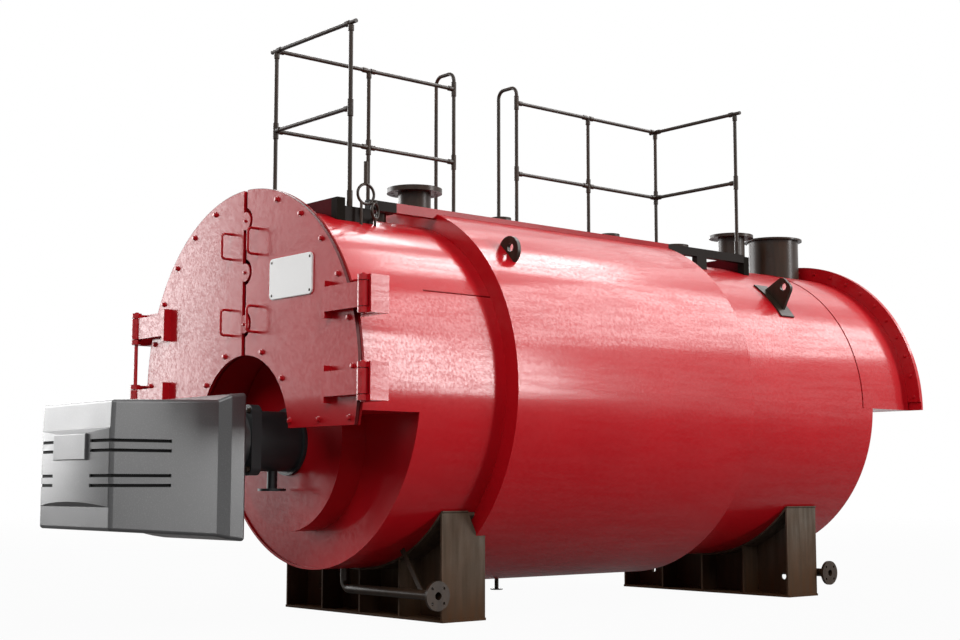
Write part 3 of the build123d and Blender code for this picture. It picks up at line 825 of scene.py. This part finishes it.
@dataclass
class RearCover:
    """Bolts that clamp the rear cover to its flange."""

    bolt: Bolt = Bolt(head_r=11.0, head_h=9.0, washer_r=15.0, washer_h=2.5)
    ring_r: float = 1180.0
    first: float = 4.4
    last: float = 175.6
    count: int = 22
    flange_y: float = 5372.0
    cover_y: float = 5407.0

    def build(self, paints: Paints) -> None:
        """Make the heads in front of the flange and the nuts behind the cover.

        Args:
            paints: Finishes of the boiler.
        """
        bolts = Metal()
        pitch = (self.last - self.first) / (self.count - 1)
        for number in range(self.count):
            angle = math.radians(self.first + number * pitch)
            x = self.ring_r * math.cos(angle)
            z = self.ring_r * math.sin(angle)
            bolts.bolt(spot(x, self.flange_y, z), FRONT, self.bolt)
            bolts.bolt(spot(x, self.cover_y, z), REAR, self.bolt)
        bolts.piece("rear_cover_bolts", Body.BOILER, paints.get(Paints.RED))


@dataclass
class Seams:
    """Weld beads along the drums."""

    bead_r: float = 6.0
    sink: float = 2.0
    angle: float = 30.0
    front: tuple[float, float] = (637.0, 1162.0)
    cowl_y: float = 4780.0
    cowl_low: float = -0.6

    def build(self, paints: Paints) -> None:
        """Lay the beads along the front drum and round the edge of the rear smokebox.

        Args:
            paints: Finishes of the boiler.
        """
        beads = Metal()
        beads.hoop(spot(0.0, self.cowl_y, 0.0), DRUM_R - self.sink, self.bead_r, self.cowl_low)
        turn = math.radians(self.angle)
        r = DRUM_R - self.sink
        start, end = self.front
        for side in (-1.0, 1.0):
            foot = spot(side * r * math.cos(turn), start, r * math.sin(turn))
            beads.drum(turned(foot, REAR), self.bead_r, 0.0, end - start, 12)
        beads.piece("drum_weld_seams", Body.BOILER, paints.get(Paints.SEAM_AND_FRAME_SHADE))


@dataclass
class BurnerBolts:
    """Bolts of the burner's square mounting plate."""

    bolt: Bolt = Bolt(head_r=15.0, head_h=14.0, washer_r=20.0, washer_h=3.0)
    axis_z: float = -325.0
    half_pitch: float = 176.0
    front_y: float = -62.0
    rear_y: float = 5.0

    def build(self, paints: Paints) -> None:
        """Make the heads in front of the plate and the nuts behind it.

        Args:
            paints: Finishes of the boiler.
        """
        bolts = Metal()
        for x in (-self.half_pitch, self.half_pitch):
            for rise in (-self.half_pitch, self.half_pitch):
                bolts.bolt(spot(x, self.front_y, self.axis_z + rise), FRONT, self.bolt)
                bolts.bolt(spot(x, self.rear_y, self.axis_z + rise), REAR, self.bolt)
        bolts.piece("burner_plate_bolts", Body.BOILER, paints.get(Paints.BLACK))


@dataclass
class BurnerGrooves:
    """Near-black strips in the grooves round the front corners of the burner's housing, as painted shade in
    the grooves.
    """

    heights: tuple[float, ...] = (-351.0, -405.0, -543.0, -597.0)
    side_x: float = 426.0
    front_x: float = 228.5
    rear_y: float = -724.5
    bulge_r: float = 3413.2
    bulge_y: float = 2301.2
    strip_h: float = 17.6
    strip_t: float = 3.0

    def _bulge(self, x: float) -> Vector:
        """Point on the floor of a groove in the bulged front."""
        return Vector((x, self.bulge_y - math.sqrt(self.bulge_r**2 - x**2)))

    def _strip(self, strips: Metal, start: Vector, end: Vector, height: float) -> None:
        """Flat strip between two points of a groove's floor.

        Args:
            strips: Piece that gets the strip.
            start: First point, across and along the boiler in millimetres.
            end: Last point.
            height: Level of its middle line above the drum axis in millimetres.
        """
        run = end - start
        middle = (start + end) / 2
        turn = Matrix.Rotation(math.atan2(run.y, run.x), 4, "Z")
        size = Matrix.Diagonal((run.length * MM, self.strip_t * MM, self.strip_h * MM, 1.0))
        place = Matrix.Translation(spot(middle.x, middle.y, height)) @ turn @ size
        bmesh.ops.create_cube(strips.bm, size=1.0, matrix=place)

    def build(self, paints: Paints) -> None:
        """Lay the painted-shade strips on both sides of the housing.

        Args:
            paints: Finishes of the boiler.
        """
        strips = Metal()
        half = (self.front_x + self.side_x) / 2
        corners = [self._bulge(x) for x in (self.front_x, half, self.side_x)]
        corners.append(Vector((self.side_x, self.rear_y)))
        for side in (-1.0, 1.0):
            path = [Vector((side * corner.x, corner.y)) for corner in corners]
            for height in self.heights:
                for start, end in zip(path, path[1:]):
                    self._strip(strips, start, end, height)
        strips.piece("burner_groove_shade_strips", Body.BOILER, paints.get(Paints.GROOVE_SHADE))


@dataclass
class RailingJoints:
    """Tube fittings where the rails of the walkway meet its posts and hoops."""

    rail_x: float = 423.0
    tube_r: float = 14.0
    r: float = 19.0
    reach: float = 55.0
    foot_h: float = 105.0
    foot_gap: float = 1.0
    beam_z: float = 1182.0
    low_beam_z: float = 1120.0
    mid_rise: float = 568.0
    top_rise: float = 1114.0
    front_y: float = 486.0
    hoop_ys: tuple[float, float] = (2023.0, 2641.0)
    mid_ys: tuple[float, float] = (1250.0, 3401.0)
    rear_y: float = 4177.0

    def _upright(self, fittings: Metal, x: float, y: float, high: bool) -> None:
        """Sleeves round a post at the middle rail and under or round the top rail.

        Args:
            fittings: Piece that gets the sleeves.
            x: Place across the boiler in millimetres.
            y: Place along the boiler in millimetres.
            high: Whether the post goes on above the top rail.
        """
        mid_z = self.beam_z + self.mid_rise
        top_z = self.beam_z + self.top_rise
        over = self.reach if high else -self.tube_r
        fittings.sleeve(spot(x, y, mid_z - self.reach), UP, self.tube_r, self.r, 2 * self.reach)
        fittings.sleeve(spot(x, y, top_z - self.reach), UP, self.tube_r, self.r, self.reach + over)

    def _along(self, fittings: Metal, x: float, y: float, way: float) -> None:
        """Sleeves round both lengthwise rails where they leave a post.

        Args:
            fittings: Piece that gets the sleeves.
            x: Place across the boiler in millimetres.
            y: Place along the boiler in millimetres.
            way: One towards the rear, minus one towards the front.
        """
        out = Vector((0.0, way, 0.0))
        for rise in (self.mid_rise, self.top_rise):
            start = spot(x, y + way * self.tube_r, self.beam_z + rise)
            fittings.sleeve(start, out, self.tube_r, self.r, self.reach - self.tube_r)

    def _across(self, fittings: Metal, x: float, y: float) -> None:
        """Sleeves round both cross rails where they leave a corner post.

        Args:
            fittings: Piece that gets the sleeves.
            x: Place across the boiler in millimetres.
            y: Place along the boiler in millimetres.
        """
        way = -1.0 if x > 0.0 else 1.0
        out = Vector((way, 0.0, 0.0))
        for rise in (self.mid_rise, self.top_rise):
            start = spot(x + way * self.tube_r, y, self.beam_z + rise)
            fittings.sleeve(start, out, self.tube_r, self.r, self.reach - self.tube_r)

    def build(self, paints: Paints) -> None:
        """Make every fitting of the railing.

        Args:
            paints: Finishes of the boiler.
        """
        fittings = Metal()
        far = -self.rail_x
        corners = [(x, y) for x in (far, self.rail_x) for y in (self.front_y, self.rear_y)]
        posts = corners + [(far, y) for y in self.mid_ys]
        for x, y in posts:
            foot = self.low_beam_z if y == self.front_y else self.beam_z
            fittings.sleeve(spot(x, y, foot + self.foot_gap), UP, self.tube_r, self.r, self.foot_h)
            self._upright(fittings, x, y, False)
        for y in self.hoop_ys:
            self._upright(fittings, far, y, True)
        for x, y in corners:
            self._across(fittings, x, y)
        for y in (self.front_y, *self.mid_ys, self.hoop_ys[1]):
            self._along(fittings, far, y, 1.0)
        for y in (self.hoop_ys[0], *self.mid_ys, self.rear_y):
            self._along(fittings, far, y, -1.0)
        fittings.piece("railing_fittings", Body.BOILER, paints.get(Paints.BLACK))


def seen_directly(graph: Graph, mirrored_share: float = 1.0) -> Signal:
    """How far a ray is one that the camera sees.

    Args:
        graph: Graph that gets the nodes.
        mirrored_share: Share that counts where the ray was mirrored by a surface.

    Returns:
        One for rays straight from the camera or through glass, the share for mirrored ones, else zero.
    """
    straight = graph.node("ShaderNodeLightPath", out="Is Camera Ray")
    mirrored = graph.node("ShaderNodeLightPath", out="Is Glossy Ray")
    through = graph.node("ShaderNodeLightPath", out="Is Transmission Ray")
    return straight.most(mirrored * mirrored_share).most(through)


@dataclass(frozen=True)
class Softbox:
    """Square lamp far off, given by where it stands in the sky round the boiler."""

    name: str
    azimuth: tuple[float, float]
    elevation: tuple[float, float]
    glow: float

    def build(self, centre: Vector, distance: float) -> None:
        """Hang the lamp.

        Args:
            centre: Point that it faces.
            distance: How far from that point it hangs, in metres.
        """
        across = math.radians(sum(self.azimuth) / 2)
        up = math.radians(sum(self.elevation) / 2)
        aim = Vector((math.sin(across) * math.cos(up), math.cos(across) * math.cos(up), math.sin(up)))
        lamp = bpy.data.lights.new(self.name, "AREA")
        lamp.shape = "RECTANGLE"
        spread_x = math.radians(self.azimuth[1] - self.azimuth[0]) * math.cos(up)
        spread_z = math.radians(self.elevation[1] - self.elevation[0])
        lamp.size = 2.0 * distance * math.tan(spread_x / 2)
        lamp.size_y = 2.0 * distance * math.tan(spread_z / 2)
        lamp.energy = 4.0 * self.glow * lamp.size * lamp.size_y
        holder = bpy.data.objects.new(self.name, lamp)
        holder.location = centre + aim * distance
        holder.rotation_euler = aim.to_track_quat("Z", "Y").to_euler()
        bpy.context.scene.collection.objects.link(holder)


@dataclass
class Studio:
    """Floor, lamps, surroundings and camera."""

    centre: Vector
    floor_r: float = 40.0
    floor_fade: tuple[float, float] = (10.0, 34.0)
    lift: float = 0.96
    mirrored_floor: float = 0.05
    lamp_distance: float = 45.0
    ambient: float = 0.07
    lens: float = 57.8
    sensor_w: float = 36.0
    far_clip: float = 200.0
    floor_tones: tuple[Colour, Colour] = ((0.2, 0.2, 0.2, 1.0), (0.22, 0.22, 0.22, 1.0))
    camera_at: tuple[float, float, float] = (8.1067, -6.1004, 0.8191)
    camera_aim: tuple[float, float, float] = (-0.7549, 0.6471, 0.1070)
    softboxes: tuple[Softbox, ...] = (
        Softbox("streak_light", (-14.0, 10.0), (45.0, 56.0), 9.8),
        Softbox("upper_streak_light", (-44.0, -26.0), (46.0, 53.0), 8.0),
        Softbox("back_light", (9.0, 50.0), (24.0, 47.0), 5.8),
        Softbox("far_back_light", (-34.0, -6.0), (32.0, 44.0), 0.8),
        Softbox("side_light", (48.0, 57.0), (-1.0, 28.0), 17.0),
        Softbox("door_light", (-123.0, -94.0), (0.8, 26.0), 7.0),
        Softbox("low_far_light", (-82.0, -46.0), (6.0, 36.0), 5.0),
        Softbox("key_light", (98.0, 124.0), (24.0, 50.0), 4.6),
        Softbox("front_light", (140.0, 174.0), (20.0, 48.0), 3.2),
    )

    def build(self) -> None:
        """Set up the whole studio."""
        self._floor()
        self._surroundings()
        for softbox in self.softboxes:
            softbox.build(self.centre, self.lamp_distance)
        self._camera()
        bpy.context.scene.view_settings.view_transform = "Standard"

    def _floor(self) -> None:
        """Pale floor that fades out into the white surroundings."""
        bm = bmesh.new()
        bmesh.ops.create_circle(bm, cap_ends=True, segments=96, radius=self.floor_r)
        mesh = bpy.data.meshes.new("floor")
        bm.to_mesh(mesh)
        bm.free()
        floor = bpy.data.objects.new("floor", mesh)
        bpy.context.scene.collection.objects.link(floor)
        material, graph = new_graph("pale_floor")
        where = graph.node("ShaderNodeTexCoord", out="Object")
        reach = graph.node("ShaderNodeVectorMath", {"operation": "LENGTH"}, {0: where}, "Value")
        fade = graph.spread(reach, *self.floor_fade)
        grain = graph.noise(graph.place(), 2.0, 3.0)
        pale = graph.mix(grain, *self.floor_tones)
        ground = graph.node("ShaderNodeBsdfDiffuse", sockets={"Color": pale})
        white = graph.node("ShaderNodeEmission", sockets={"Strength": 1.0})
        share = seen_directly(graph, self.mirrored_floor) * self.lift
        lifted = graph.node("ShaderNodeMixShader", sockets={0: share, 1: ground, 2: white})
        clear = graph.node("ShaderNodeBsdfTransparent")
        shown = graph.node("ShaderNodeMixShader", sockets={0: fade, 1: lifted, 2: clear})
        graph.node("ShaderNodeOutputMaterial", sockets={"Surface": shown})
        mesh.materials.append(material)

    def _surroundings(self) -> None:
        """White surroundings, with a soft even light on the boiler."""
        world = bpy.data.worlds.new("studio")
        world.use_nodes = True
        bpy.context.scene.world = world
        graph = Graph(world.node_tree)
        white = (1.0, 1.0, 1.0, 1.0)
        light = graph.node("ShaderNodeBackground", sockets={"Color": white, "Strength": self.ambient})
        back = graph.node("ShaderNodeBackground", sockets={"Color": white, "Strength": 1.0})
        both = graph.node("ShaderNodeMixShader", sockets={0: seen_directly(graph), 1: light, 2: back})
        graph.node("ShaderNodeOutputWorld", sockets={"Surface": both})

    def _camera(self) -> None:
        """Camera at the height of a standing person's chest, right of the burner."""
        lens = bpy.data.cameras.new("camera")
        lens.sensor_fit = "HORIZONTAL"
        lens.sensor_width = self.sensor_w
        lens.lens = self.lens
        lens.clip_end = self.far_clip
        holder = bpy.data.objects.new("camera", lens)
        holder.location = self.camera_at
        holder.rotation_euler = Vector(self.camera_aim).to_track_quat("-Z", "Y").to_euler()
        bpy.context.scene.collection.objects.link(holder)
        bpy.context.scene.camera = holder


def main() -> None:
    """Dress the boiler and set up the studio."""
    logging.basicConfig(level=logging.INFO, format="%(message)s")
    paints = Paints()
    Shell().dress(paints)
    Doors().build(paints)
    RearCover().build(paints)
    Seams().build(paints)
    BurnerBolts().build(paints)
    BurnerGrooves().build(paints)
    RailingJoints().build(paints)
    Studio(centre=Vector((0.0, 1.2, 1.4))).build()


if __name__ == "__main__":
    main()
